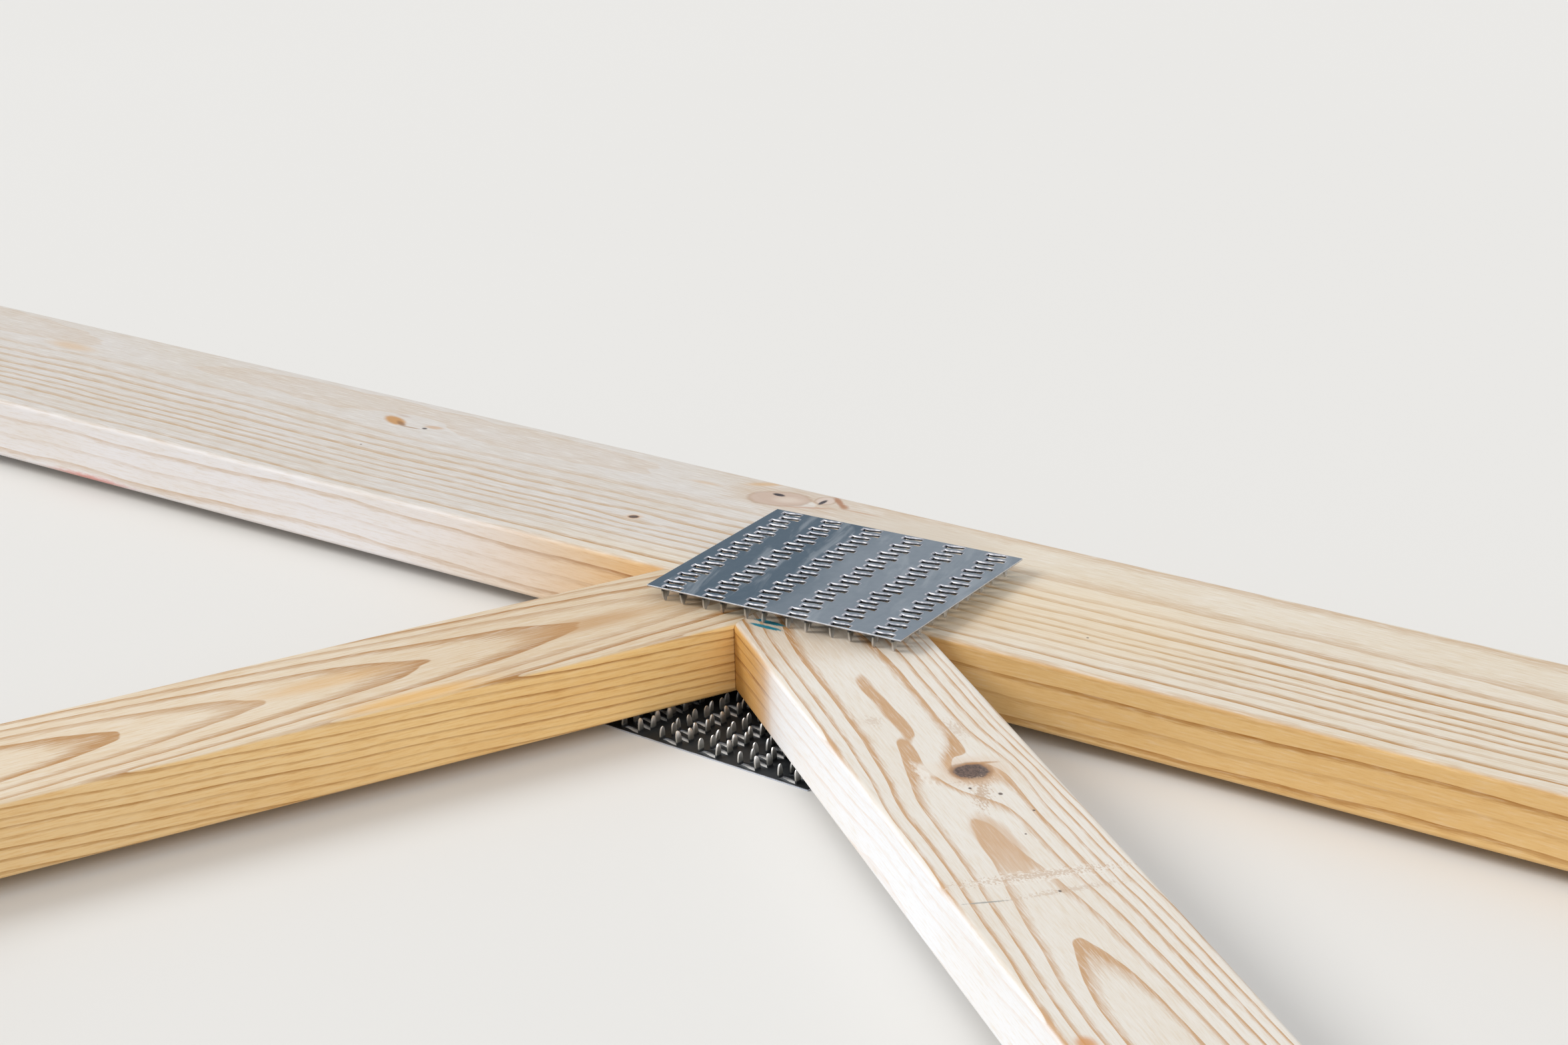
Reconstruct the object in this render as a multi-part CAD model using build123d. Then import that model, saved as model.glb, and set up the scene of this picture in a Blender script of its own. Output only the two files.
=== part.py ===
"""A gabled W roof truss of softwood boards, laid flat for plating.

The boards meet edge to edge and lie in one layer. A toothed nail plate lies under each joint with
its teeth up, and the boards stand on the tooth tips. A second plate stands on top of each joint on
its own teeth. None of the plates has been pressed in yet.

The truss plane is X (along the span) and Y (from the bottom chord to the ridge). Z is up from the
floor. The sizes are in millimetres.
"""
import os
from math import atan, cos, degrees, radians, sin, tan

from build123d import *

# Boards
board_thickness = 38.1
chord_width = 139.7
web_width = 88.9
eased_radius = 3.0
saw_gap = 0.3

# Outline of the truss
span = 7315.2
rise_per_run = 4 / 12
heel_butt = 6.35
overhang = 304.8

# Webs: their slopes to the bottom chord, and the length of the seam between the two of a node
long_web_angle = 37.06
short_web_angle = 66.4
seam_length = 42.2

# Nail plates: bands of slots across, rows of slots along
plate_thickness = 1.0
band_pitch = 25.4
row_pitch = 6.35
slot_length = 10.3
slot_width = 3.2
slot_stagger = 2.7
tooth_thickness = 1.0
tooth_length = 8.4
plain_row_step = 9

# Bands and rows of each joint's plates
node_plate = (6, 20)
ridge_plate = (6, 20)
heel_plate = (4, 32)
strut_plate = (3, 16)

# Where the two loose plates of the right node lie, from the foot of its seam
upper_plate_shift = (-14.3, -28.3)
upper_plate_turn = 3.6
lower_plate_shift = (-16.0, 36.4)
lower_plate_turn = -3.0

# Where the other joints' plates lie
node_plate_rise = 4.0
ridge_plate_rise = 12.0
heel_plate_inset = 200.0

half_span = span / 2
roof_angle = atan(rise_per_run)
plumb_width = chord_width / cos(roof_angle)
inner_ridge = heel_butt + half_span * rise_per_run
peak = inner_ridge + plumb_width
tail_end = half_span + overhang
tail_low = heel_butt - overhang * rise_per_run
middle_height = (peak + tail_low) / 2
board_bottom = tooth_length
board_top = board_bottom + board_thickness
seam_top = chord_width + seam_length
long_web_slope = radians(long_web_angle)
seam_x = (inner_ridge + web_width / 2 / cos(long_web_slope) - seam_top) / tan(long_web_slope)


def clip(outline, point, direction, gap=0.0):
    """The part of a convex outline on the left of a line, and clear of it by gap."""
    run = Vector(*direction).normalized()
    across = Vector(-run.Y, run.X)
    heights = [(Vector(*corner) - Vector(*point)).dot(across) - gap for corner in outline]
    kept = []
    next_corners = outline[1:] + outline[:1]
    next_heights = heights[1:] + heights[:1]
    for here, there, low, high in zip(outline, next_corners, heights, next_heights):
        if low >= 0:
            kept.append(here)
        if low * high < 0:
            share = low / (low - high)
            kept.append((here[0] + share * (there[0] - here[0]), here[1] + share * (there[1] - here[1])))
    return kept


def strip(point, direction, low_side, high_side):
    """A straight board's outline, long enough to be cut at both ends, between two offsets of a line."""
    run = Vector(*direction).normalized()
    across = Vector(-run.Y, run.X)
    start = Vector(*point) - run * span
    end = Vector(*point) + run * span
    near = across * low_side
    far = across * high_side
    return [(corner.X, corner.Y) for corner in (start + near, end + near, end + far, start + far)]


def board(outline):
    """A board of that outline, with its long arrises eased as planed lumber's are."""
    centred = [(x, y - middle_height) for x, y in outline]
    face = make_face(Polyline(*centred, close=True))
    solid = extrude(Plane.XY.offset(board_bottom) * face, board_thickness)
    longest = max(solid.edges(), key=lambda edge: edge.length)
    run = longest.tangent_at(0.5)
    arrises = [
        edge
        for edge in solid.edges()
        if abs(edge.tangent_at(0.5).dot(run)) > 0.999999 and edge.length > longest.length / 3
    ]
    return fillet(arrises, eased_radius)


def mirrored(outline):
    """The same outline on the other side of the ridge."""
    return [(-x, y) for x, y in reversed(outline)]


def bottom_chord():
    """The board along the ceiling, its upper corners sawn off under the rafters."""
    whole = [(-half_span, 0), (half_span, 0), (half_span, chord_width), (-half_span, chord_width)]
    under_right = clip(whole, (half_span, heel_butt), (-1, rise_per_run), gap=saw_gap)
    return clip(under_right, (-half_span, heel_butt), (-1, -rise_per_run), gap=saw_gap)


def top_chord():
    """The right rafter board, with a plumb cut at the ridge and another at its tail."""
    rafter = strip((half_span, heel_butt), (-1, rise_per_run), -chord_width, 0)
    to_ridge = clip(rafter, (0, 0), (0, -1), gap=saw_gap / 2)
    return clip(to_ridge, (tail_end, 0), (0, 1))


def under_rafter(outline):
    """An outline cut off along the right rafter's lower edge."""
    return clip(outline, (half_span, heel_butt), (-1, rise_per_run), gap=saw_gap)


def above_chord(outline):
    """An outline cut off along the bottom chord's upper edge."""
    return clip(outline, (0, chord_width), (1, 0), gap=saw_gap)


def right_of_seam(outline):
    """An outline cut off along the seam between the right node's two webs, on the strut's side."""
    return clip(outline, (seam_x, chord_width), (0, -1), gap=saw_gap / 2)


def left_of_seam(outline):
    """An outline cut off along the seam between the right node's two webs, on the tie's side."""
    return clip(outline, (seam_x, chord_width), (0, 1), gap=saw_gap / 2)


short_web_run = (cos(radians(short_web_angle)), sin(radians(short_web_angle)))
short_web_whole = strip((seam_x, seam_top), short_web_run, -web_width, 0)
long_web_run = (cos(long_web_slope), -sin(long_web_slope))
long_web_whole = strip((0, inner_ridge), long_web_run, -web_width / 2, web_width / 2)


def short_web():
    """The right strut, from the bottom chord to the middle of the rafter."""
    return right_of_seam(under_rafter(above_chord(short_web_whole)))


def long_web():
    """The right tie, from the foot of the strut to the ridge."""
    ended = left_of_seam(under_rafter(above_chord(long_web_whole)))
    return clip(ended, (0, 0), (0, -1), gap=saw_gap / 2)


def slot_places(bands, rows, step):
    """The slots' middles in every step-th row of each band, staggered from row to row."""
    for row in range((rows - 1) % step // 2, rows, step):
        stagger = slot_stagger / 2 * (1 if row % 2 else -1)
        for band in range(bands):
            yield (band + 0.5 - bands / 2) * band_pitch + stagger, (row + 0.5 - rows / 2) * row_pitch


def nail_plate(bands, rows, plain=False):
    """A plate with its teeth down, its tooth tips at Z 0. Two teeth are bent out of each slot."""
    under = tooth_length - plate_thickness
    blade = make_face(Polyline((-slot_width / 2, under), (slot_width / 2, under), (0, 0), close=True))
    places = list(slot_places(bands, rows, plain_row_step if plain else 1))
    sheet = Rectangle(bands * band_pitch, rows * row_pitch)
    if not plain:
        sheet = sheet - [Pos(x, y) * Rectangle(slot_length, slot_width) for x, y in places]
    teeth = []
    for x, y in places:
        for side in (-1, 1):
            middle = x + side * (slot_length + tooth_thickness) / 2
            standing = Plane((middle, y, 0), x_dir=(0, 1, 0), z_dir=(1, 0, 0))
            teeth.append(extrude(standing * blade, tooth_thickness / 2, both=True))
    return extrude(Plane.XY.offset(under) * sheet, plate_thickness).fuse(*teeth)


def place(plate, centre, turn, below=False):
    """A plate set on a joint: on top of the boards, or turned over under them."""
    x, y = centre
    if below:
        return Pos(x, y - middle_height, board_bottom) * Rot(0, 0, turn) * Rot(180, 0, 0) * plate
    return Pos(x, y - middle_height, board_top) * Rot(0, 0, turn) * plate


def make_boards():
    """Every board of the truss, by name."""
    boards = {"bottom_chord": board(bottom_chord())}
    for name, outline in (("top_chord", top_chord()), ("short_web", short_web()), ("long_web", long_web())):
        boards[name + "_right"] = board(outline)
        boards[name + "_left"] = board(mirrored(outline))
    return boards


def make_plates():
    """Every nail plate of the truss, by name: an upper and a lower one at each joint."""
    plates = {}
    full = nail_plate(*node_plate)
    for name, shift, turn, below in (
        ("upper", upper_plate_shift, upper_plate_turn, False),
        ("lower", lower_plate_shift, lower_plate_turn, True),
    ):
        centre = (seam_x + shift[0], chord_width + shift[1])
        plates["node_plate_right_" + name] = place(full, centre, turn, below)

    along_rafter = 90 - degrees(roof_angle)
    strut_middle = strip((seam_x, seam_top), short_web_run, -web_width / 2, 0)
    strut_top = max(under_rafter(strut_middle), key=lambda corner: corner[0] - corner[1] / 1000)
    heel = (half_span - heel_plate_inset, heel_butt + heel_plate_inset * rise_per_run)
    joints = (
        ("node_plate_left", node_plate, (-seam_x, chord_width + node_plate_rise), 0),
        ("ridge_plate", ridge_plate, (0, inner_ridge + ridge_plate_rise), 0),
        ("heel_plate_right", heel_plate, heel, along_rafter),
        ("heel_plate_left", heel_plate, (-heel[0], heel[1]), -along_rafter),
        ("strut_plate_right", strut_plate, strut_top, along_rafter),
        ("strut_plate_left", strut_plate, (-strut_top[0], strut_top[1]), -along_rafter),
    )
    for name, (bands, rows), centre, turn in joints:
        plate = nail_plate(bands, rows, plain=True)
        plates[name + "_upper"] = place(plate, centre, turn)
        plates[name + "_lower"] = place(plate, centre, turn, below=True)
    return plates


os.makedirs("parts", exist_ok=True)
for node_name, solid in {**make_boards(), **make_plates()}.items():
    export_step(solid, f"parts/{node_name}.step")
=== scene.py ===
# %% [markdown]
# A gabled roof truss lies flat on a floor, ready for its nail plates to be pressed in. Seven boards
# meet edge to edge in one layer, and a toothed plate lies on and under each joint. The boards keep
# their CAD solids, because planed lumber is exactly that shape: their looks are all in the grain.
# The nail plates are drawn again here as punched sheet, with every slot and both of its teeth.

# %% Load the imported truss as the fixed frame
from math import atan, cos, pi, radians, sin
from random import Random

import bmesh
import bpy
from mathutils import Matrix, Vector


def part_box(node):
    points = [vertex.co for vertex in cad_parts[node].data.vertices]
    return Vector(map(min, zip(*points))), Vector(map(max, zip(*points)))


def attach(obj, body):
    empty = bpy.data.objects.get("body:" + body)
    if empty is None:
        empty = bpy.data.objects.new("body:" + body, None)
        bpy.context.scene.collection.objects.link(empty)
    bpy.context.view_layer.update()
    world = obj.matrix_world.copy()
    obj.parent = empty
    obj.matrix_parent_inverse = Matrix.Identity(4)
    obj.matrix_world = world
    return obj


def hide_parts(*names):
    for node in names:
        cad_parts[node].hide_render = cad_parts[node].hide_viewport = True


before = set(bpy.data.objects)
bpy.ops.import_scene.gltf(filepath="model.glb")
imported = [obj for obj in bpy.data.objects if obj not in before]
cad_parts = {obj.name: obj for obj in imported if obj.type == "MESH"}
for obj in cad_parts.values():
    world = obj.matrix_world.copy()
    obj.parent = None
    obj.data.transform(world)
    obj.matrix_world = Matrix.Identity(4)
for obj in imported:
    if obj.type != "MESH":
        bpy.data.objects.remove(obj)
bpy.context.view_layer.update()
MM = 0.001
print("nodes:", len(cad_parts))

# %% [markdown]
# Everything is laid out from one point: the inner end of the seam where the two webs of the right
# node part. The boards' slopes are the same as in the CAD source, and the rest is read from the
# frame, so nothing has to be fitted by eye.

# %% Find the seam of the right node
SHORT_WEB_ANGLE = radians(66.4)
LONG_WEB_ANGLE = radians(37.06)
ROOF_ANGLE = atan(4 / 12)
SEAM_LENGTH = 42.2 * MM
SAW_GAP = 0.3 * MM

chord_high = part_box("bottom_chord")[1]
board_top = chord_high.z
seam_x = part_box("short_web_right")[0].x - SAW_GAP / 2
seam_end = Vector((seam_x, chord_high.y + SEAM_LENGTH, board_top))
print("seam ends at", [round(value, 4) for value in seam_end])

# %% [markdown]
# The camera stands where the photographer's did, to one side of the joint and about waist high over
# it. Its place was found from the known sections of the lumber, so it is kept in real sizes from
# the seam, and it is turned by three angles: its heading, its tilt down and a slight roll.

# %% Set the camera
CAMERA_FROM_SEAM = Vector((-0.951, 1.297 - SEAM_LENGTH, 0.654))
CAMERA_HEADING = radians(143.81)
CAMERA_TILT_DOWN = radians(20.84)
CAMERA_ROLL = radians(-1.26)
PHOTO_WIDTH = 2353
FOCAL_PIXELS = 5017
SENSOR_WIDTH = 36
CLIP_END = 200


def make_camera():
    """The camera at the photograph's place and angle."""
    data = bpy.data.cameras.new("camera")
    data.sensor_width = SENSOR_WIDTH
    data.lens = SENSOR_WIDTH * FOCAL_PIXELS / PHOTO_WIDTH
    data.clip_end = CLIP_END
    camera = bpy.data.objects.new("camera", data)
    bpy.context.scene.collection.objects.link(camera)
    level = cos(CAMERA_TILT_DOWN)
    forward = Vector((sin(CAMERA_HEADING) * level, cos(CAMERA_HEADING) * level, -sin(CAMERA_TILT_DOWN)))
    right = Vector((cos(CAMERA_HEADING), -sin(CAMERA_HEADING), 0))
    up = right.cross(forward)
    turned_right = right * cos(CAMERA_ROLL) + up * sin(CAMERA_ROLL)
    turned_up = up * cos(CAMERA_ROLL) - right * sin(CAMERA_ROLL)
    axes = Matrix((turned_right, turned_up, -forward)).transposed().to_4x4()
    camera.matrix_world = Matrix.Translation(seam_end + CAMERA_FROM_SEAM) @ axes
    bpy.context.scene.camera = camera
    return camera


camera = make_camera()
print("lens", round(camera.data.lens, 2), "mm at", [round(value, 3) for value in camera.location])

# %% [markdown]
# The photograph is lit by soft daylight from the left, which makes the side of the long web the
# brightest face and leaves the side of the short web a warm mid tone. A wide sun, a weak second one
# from the other side and an even sky give the same balance, at a level that shows each colour as
# it is written.

# %% Light the truss
KEY_LIGHT = (0.72, 0.52, 0.62)
FILL_LIGHT = (-0.85, 0.55, 0.70)
KEY_STRENGTH = 1.75
FILL_STRENGTH = 0.62
SKY_STRENGTH = 0.62
KEY_SOFTNESS = 24
FILL_SOFTNESS = 40
KEY_COLOUR = (1.0, 0.985, 0.96)
FILL_COLOUR = (1.0, 0.97, 0.93)


def make_sun(name, towards, strength, softness, colour):
    """A distant lamp that shines from a direction."""
    data = bpy.data.lights.new(name, "SUN")
    data.energy = strength
    data.angle = radians(softness)
    data.color = colour
    lamp = bpy.data.objects.new(name, data)
    lamp.rotation_euler = Vector(towards).to_track_quat("Z", "Y").to_euler()
    bpy.context.scene.collection.objects.link(lamp)
    return lamp


make_sun("key_light", KEY_LIGHT, KEY_STRENGTH, KEY_SOFTNESS, KEY_COLOUR)
make_sun("fill_light", FILL_LIGHT, FILL_STRENGTH, FILL_SOFTNESS, FILL_COLOUR)
scene = bpy.context.scene
scene.view_settings.view_transform = "Standard"

# %% [markdown]
# A shader graph is easier to read as sums than as boxes and wires. Here one small class holds a
# socket and answers to Python's operators, so that a formula on values adds its Math nodes by
# itself. Every other node comes from one method that takes its type, its settings and its inputs.

# %% Shader maths as Python expressions


class Wire:
    """One output socket in a material, which can be added, multiplied and so on."""

    def __init__(self, tree, socket):
        self.tree = tree
        self.socket = socket

    def node(self, kind, settings=None, output=0, **inputs):
        """A new node of that type in the same material, as a Wire from one of its outputs."""
        made = self.tree.nodes.new(kind)
        for name, value in (settings or {}).items():
            if name == "points":
                set_points(made.mapping, value)
            else:
                setattr(made, name, value)
        for name, value in inputs.items():
            plug(self.tree, input_named(made, name), value)
        return Wire(self.tree, made.outputs[output])

    def maths(self, operation, first, second=0.0, third=0.0):
        """A Math node on values or wires."""
        return self.node("ShaderNodeMath", {"operation": operation}, _0=first, _1=second, _2=third)

    def __add__(self, other):
        return self.maths("ADD", self, other)

    def __radd__(self, other):
        return self.maths("ADD", other, self)

    def __sub__(self, other):
        return self.maths("SUBTRACT", self, other)

    def __rsub__(self, other):
        return self.maths("SUBTRACT", other, self)

    def __mul__(self, other):
        return self.maths("MULTIPLY", self, other)

    def __rmul__(self, other):
        return self.maths("MULTIPLY", other, self)

    def __truediv__(self, other):
        return self.maths("DIVIDE", self, other)

    def __rtruediv__(self, other):
        return self.maths("DIVIDE", other, self)

    def __pow__(self, other):
        return self.maths("POWER", self, other)

    def __neg__(self):
        return self.maths("MULTIPLY", self, -1.0)


def input_named(node, name):
    """A node's input by its number, as _0, or by its name with low lines for spaces."""
    if name[0] == "_":
        return node.inputs[int(name[1:])]
    wanted = name.replace("_", " ").lower()
    return next(socket for socket in node.inputs if socket.name.lower() == wanted and socket.enabled)


def plug(tree, socket, value):
    """Links a wire to a socket, or sets the socket's own value."""
    if isinstance(value, Wire):
        tree.links.new(value.socket, socket)
    else:
        socket.default_value = value


def set_points(mapping, points):
    """Gives a float curve its points: (x, y) from left to right."""
    curve = mapping.curves[0]
    while len(curve.points) < len(points):
        curve.points.new(0.5, 0.5)
    for point, place in zip(curve.points, points):
        point.location = place
        point.handle_type = "AUTO_CLAMPED"
    mapping.update()


print("operators ready:", "+ - * / **")

# %% [markdown]
# These few helpers are the vocabulary of both finishes: a soft step between two levels, a blend of
# two colours, noise, a curve through stops, and the distance from a spot.

# %% Helpers for masks and colours


def soft_step(value, low, high):
    """0 below low and 1 above high, with a smooth rise between them."""
    settings = {"interpolation_type": "SMOOTHSTEP"}
    return value.node("ShaderNodeMapRange", settings, value=value, from_min=low, from_max=high)


def blend_colour(mask, first, second, blend_type="MIX"):
    """A mix of two colours, the second where the mask is 1."""
    settings = {"data_type": "RGBA", "blend_type": blend_type}
    first, second = colour_of(first), colour_of(second)
    return mask.node("ShaderNodeMix", settings, output=2, _0=mask, _6=first, _7=second)


def colour_of(value):
    """A colour with its alpha, or the wire that carries one."""
    return value if isinstance(value, Wire) else (*value, 1.0)


def join(x, y, z=0.0):
    """A vector from three values, of which the first is a wire."""
    return x.node("ShaderNodeCombineXYZ", _0=x, _1=y, _2=z)


def noise(place, scale=1.0, detail=2.0, roughness=0.5, distortion=0.0):
    """Smooth noise from 0 to 1 at a vector, with its middle near a half."""
    settings = {"noise_dimensions": "3D", "normalize": True}
    return place.node(
        "ShaderNodeTexNoise",
        settings,
        vector=place,
        scale=scale,
        detail=detail,
        roughness=roughness,
        distortion=distortion,
    )


def square(value):
    """A value times itself."""
    return value * value


def follow(place, stops):
    """A smooth curve through (place, value) stops, flat beyond both ends."""
    first, last = stops[0][0], stops[-1][0]
    low = min(value for _, value in stops)
    spread = max(max(value for _, value in stops) - low, 0.001)
    points = [((start - first) / (last - first), (value - low) / spread) for start, value in stops]
    share = place.node("ShaderNodeMapRange", value=place, from_min=first, from_max=last)
    curve = place.node("ShaderNodeFloatCurve", {"points": points}, value=share)
    return curve * spread + low


def far_from(u, v, middle, reach, turn=0.0):
    """How far a point is from a mark's middle: 1 on the edge of its turned oval."""
    du, dv = u - middle[0], v - middle[1]
    if turn:
        angle = radians(turn)
        du, dv = du * cos(angle) + dv * sin(angle), dv * cos(angle) - du * sin(angle)
    return (square(du / reach[0]) + square(dv / reach[1])) ** 0.5


def hill(distance):
    """1 in the middle of a mark, falling smoothly to almost nothing at twice its reach."""
    squared = square(distance)
    return squared.maths("EXPONENT", -squared)


def new_material(name):
    """A new material with its shader, and wires of the place and of the surface's direction."""
    material = bpy.data.materials.new(name)
    material.use_nodes = True
    tree = material.node_tree
    shader = next(node for node in tree.nodes if node.type == "BSDF_PRINCIPLED")
    start = tree.nodes.new("ShaderNodeTexCoord")
    place, normal = Wire(tree, start.outputs["Object"]), Wire(tree, start.outputs["Normal"])
    return material, tree, shader, place, normal


print("helpers ready")

# %% [markdown]
# The floor is plain and pale, and it keeps the truss's shadow. The sky is the same pale tone to the
# camera and in the steel.

# %% Lay the floor and the sky
FLOOR_COLOUR = (0.80, 0.79, 0.77)
SKY_COLOUR = (0.97, 0.985, 1.0)
FLOOR_SHADE = 0.97
FLOOR_CLOUDS = 0.8
FLOOR_ROUGHNESS = 0.85
FLOOR_RADIUS = 60.0
BACKGROUND_STRENGTH = 0.9


def make_floor():
    """A wide round floor under the lower nail plates."""
    mesh = bpy.data.meshes.new("floor")
    form = bmesh.new()
    bmesh.ops.create_circle(form, cap_ends=True, segments=96, radius=FLOOR_RADIUS)
    form.to_mesh(mesh)
    form.free()
    floor = bpy.data.objects.new("floor", mesh)
    scene.collection.objects.link(floor)
    floor.location.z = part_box("node_plate_right_lower")[0].z
    material, tree, shader, place, _ = new_material("floor_paint")
    cloud = noise(place, scale=FLOOR_CLOUDS, detail=3.0)
    colour = blend_colour(cloud, FLOOR_COLOUR, tuple(value * FLOOR_SHADE for value in FLOOR_COLOUR))
    plug(tree, shader.inputs["Base Color"], colour)
    shader.inputs["Roughness"].default_value = FLOOR_ROUGHNESS
    mesh.materials.append(material)
    return floor


def make_sky():
    """An even pale sky."""
    world = bpy.data.worlds.new("studio")
    world.use_nodes = True
    scene.world = world
    tree = world.node_tree
    background = next(node for node in tree.nodes if node.type == "BACKGROUND")
    path = tree.nodes.new("ShaderNodeLightPath")
    seen = Wire(tree, path.outputs["Is Camera Ray"]) + Wire(tree, path.outputs["Is Glossy Ray"])
    strength = SKY_STRENGTH + (BACKGROUND_STRENGTH - SKY_STRENGTH) * seen
    background.inputs["Color"].default_value = (*SKY_COLOUR, 1)
    plug(tree, background.inputs["Strength"], strength)


make_floor()
make_sky()
print("floor and sky ready")

# %% [markdown]
# Softwood shows its growth rings: pale earlywood that darkens to tan latewood and then stops
# sharply at the next year's pale wood. A board is a slice through that stack of nested cones. So
# the grain is one solid field, worked out at every point from its distance to the tree's heart,
# which runs a few centimetres under the face and drifts. Where a ring only grazes the face it
# opens into the long pointed arches, and on the edges it runs as close parallel lines. Painting
# lines on each face was the other way, but then the grain would break at every arris.

# %% The frame of a board: along, across and into it


def board_place(place, wood):
    """Along, across and depth in millimetres, from a corner of a board's top face."""
    local = place.node(
        "ShaderNodeMapping",
        {"vector_type": "TEXTURE"},
        vector=place,
        location=wood["origin"],
        rotation=(0.0, 0.0, wood["angle"]),
        scale=(MM, MM * wood["far_side"], -MM),
    )
    apart = local.tree.nodes.new("ShaderNodeSeparateXYZ")
    plug(local.tree, apart.inputs[0], local)
    return [Wire(local.tree, socket) for socket in apart.outputs]


def sawn_end(normal, angle):
    """1 on the sawn ends of a board, and 0 on its four long faces."""
    run = (cos(angle), sin(angle), 0.0)
    dot = normal.node("ShaderNodeVectorMath", {"operation": "DOT_PRODUCT"}, output=1, _0=normal, _1=run)
    return soft_step(dot.maths("ABSOLUTE", dot), 0.2, 0.35)


print("board frames ready")

# %% [markdown]
# Each year of growth ends at its own distance from the heart, and has its own strength of tan.
# Both are kept as short lists, which curves read back at every point. The fibres part and close
# again round a knot, which is done by moving the point before its distance is taken.

# %% The year and the tone at every point
BOW_PEAK = 2.33
SWAY_LENGTH = (170, 1)
RIPPLE_SIZE = (45, 11)


def noise_about_zero(along, across, depth, size, seed):
    """Noise stretched along the fibres, from about -1 to 1, with its size in millimetres."""
    place = join(along / size[0] + seed, across / size[1], depth / size[1])
    return (noise(place, detail=1.0) - 0.5) * 2.6


def distance_from_heart(along, across, depth, wood):
    """Millimetres from the tree's heart to a point of the board, with its knots and its sway."""
    seed = wood["seed"]
    sway = noise_about_zero(along, across * 0, depth * 0, SWAY_LENGTH, seed) * wood["sway"]
    sideways = across - wood["heart_across"] - sway
    pushed = 0.0
    for knot in wood["knots"]:
        far = far_from(along, across, knot["middle"], knot["reach"])
        near = hill(far)
        lean = (across - knot["middle"][1]) / knot["reach"][1]
        sideways = sideways - near * lean * (knot["bow"] * BOW_PEAK)
        pushed = near * knot["push"] + pushed
    below = follow(along, wood["heart_depth"]) - depth
    distance = (square(sideways) + square(below)) ** 0.5
    ripple = noise_about_zero(along, across, depth, RIPPLE_SIZE, seed + 9.1) * wood["ripple"]
    return distance + ripple + pushed


def years(distance, wood):
    """The share of its year that a point has reached, that year's tone, and its number."""
    ends = [(end, float(index)) for index, end in enumerate(wood["ends"])]
    reached = follow(distance, ends)
    year = reached.maths("FLOOR", reached)
    tones = [(index + 0.5, tone) for index, tone in enumerate(wood["tones"])]
    return reached - year, follow(year + 0.5, tones), year


print("years ready")

# %% [markdown]
# The finish mixes five things in order: the ground of earlywood, the latewood bands, fine fibres
# and the white bloom that a planer leaves, the dull sawn ends, and at last the knots and marks.
# A board can be paler at one end, so each colour is given for both ends, and again for the edges.
# The edges' colours are painted light: a deeper gold for warm light bounced onto the side faces, a
# near white on the long web for daylight washing over its side, and on the bottom chord partly
# painted shade at the far end. The zone says how far along the second colours take over, and the
# lead how much sooner they do so at the near edge. Fibres roughen the borders of the bands, as a
# planer leaves them. The bump stays low, because planed wood is smooth.

# %% The finish of a board
BLOOM = (0.86, 0.835, 0.80)
SAWN = (0.80, 0.66, 0.50)
FACE_ROLL = (0.2, 1.5)
FADE_LENGTH = 130
CLOUD_SIZE = (110, 30)
FIBRE_LENGTH = 17
FIBRES_PER_MM = 0.9
HAIR_LENGTH = 6
HAIRS_PER_MM = 2.4
LEAD_ACROSS = (5.0, 45.0)
YEAR_END = (0.975, 1.0)
LATEST = (0.8, 0.96)
FADE_SHIFT = 0.25
FIBRE_SHIFT = 0.40
EDGE_SHIFT = 0.12
RISE_WIDTH = 0.3
RISE_SHARE = 0.65
CLOUD_FROM = (0.35, 0.75)
FIBRE_FROM = (0.48, 0.68)
FIBRE_STRENGTH = 0.75
HAIR_FROM = (0.54, 0.72)
HAIR_STRENGTH = 0.45
BLOOM_UP_TO = (0.32, 0.50)
SAWN_STRENGTH = 0.8
WOOD_ROUGHNESS = 0.60
WOOD_SHEEN = 0.35


def ends_and_faces(colours, zone, edge):
    """A colour from four: the top's at both ends, then the edges' painted light at both ends."""
    top_near, top_far, edge_near_painted_light, edge_far_painted_light = colours
    top = blend_colour(zone, top_near, top_far)
    return blend_colour(edge, top, blend_colour(zone, edge_near_painted_light, edge_far_painted_light))


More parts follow.
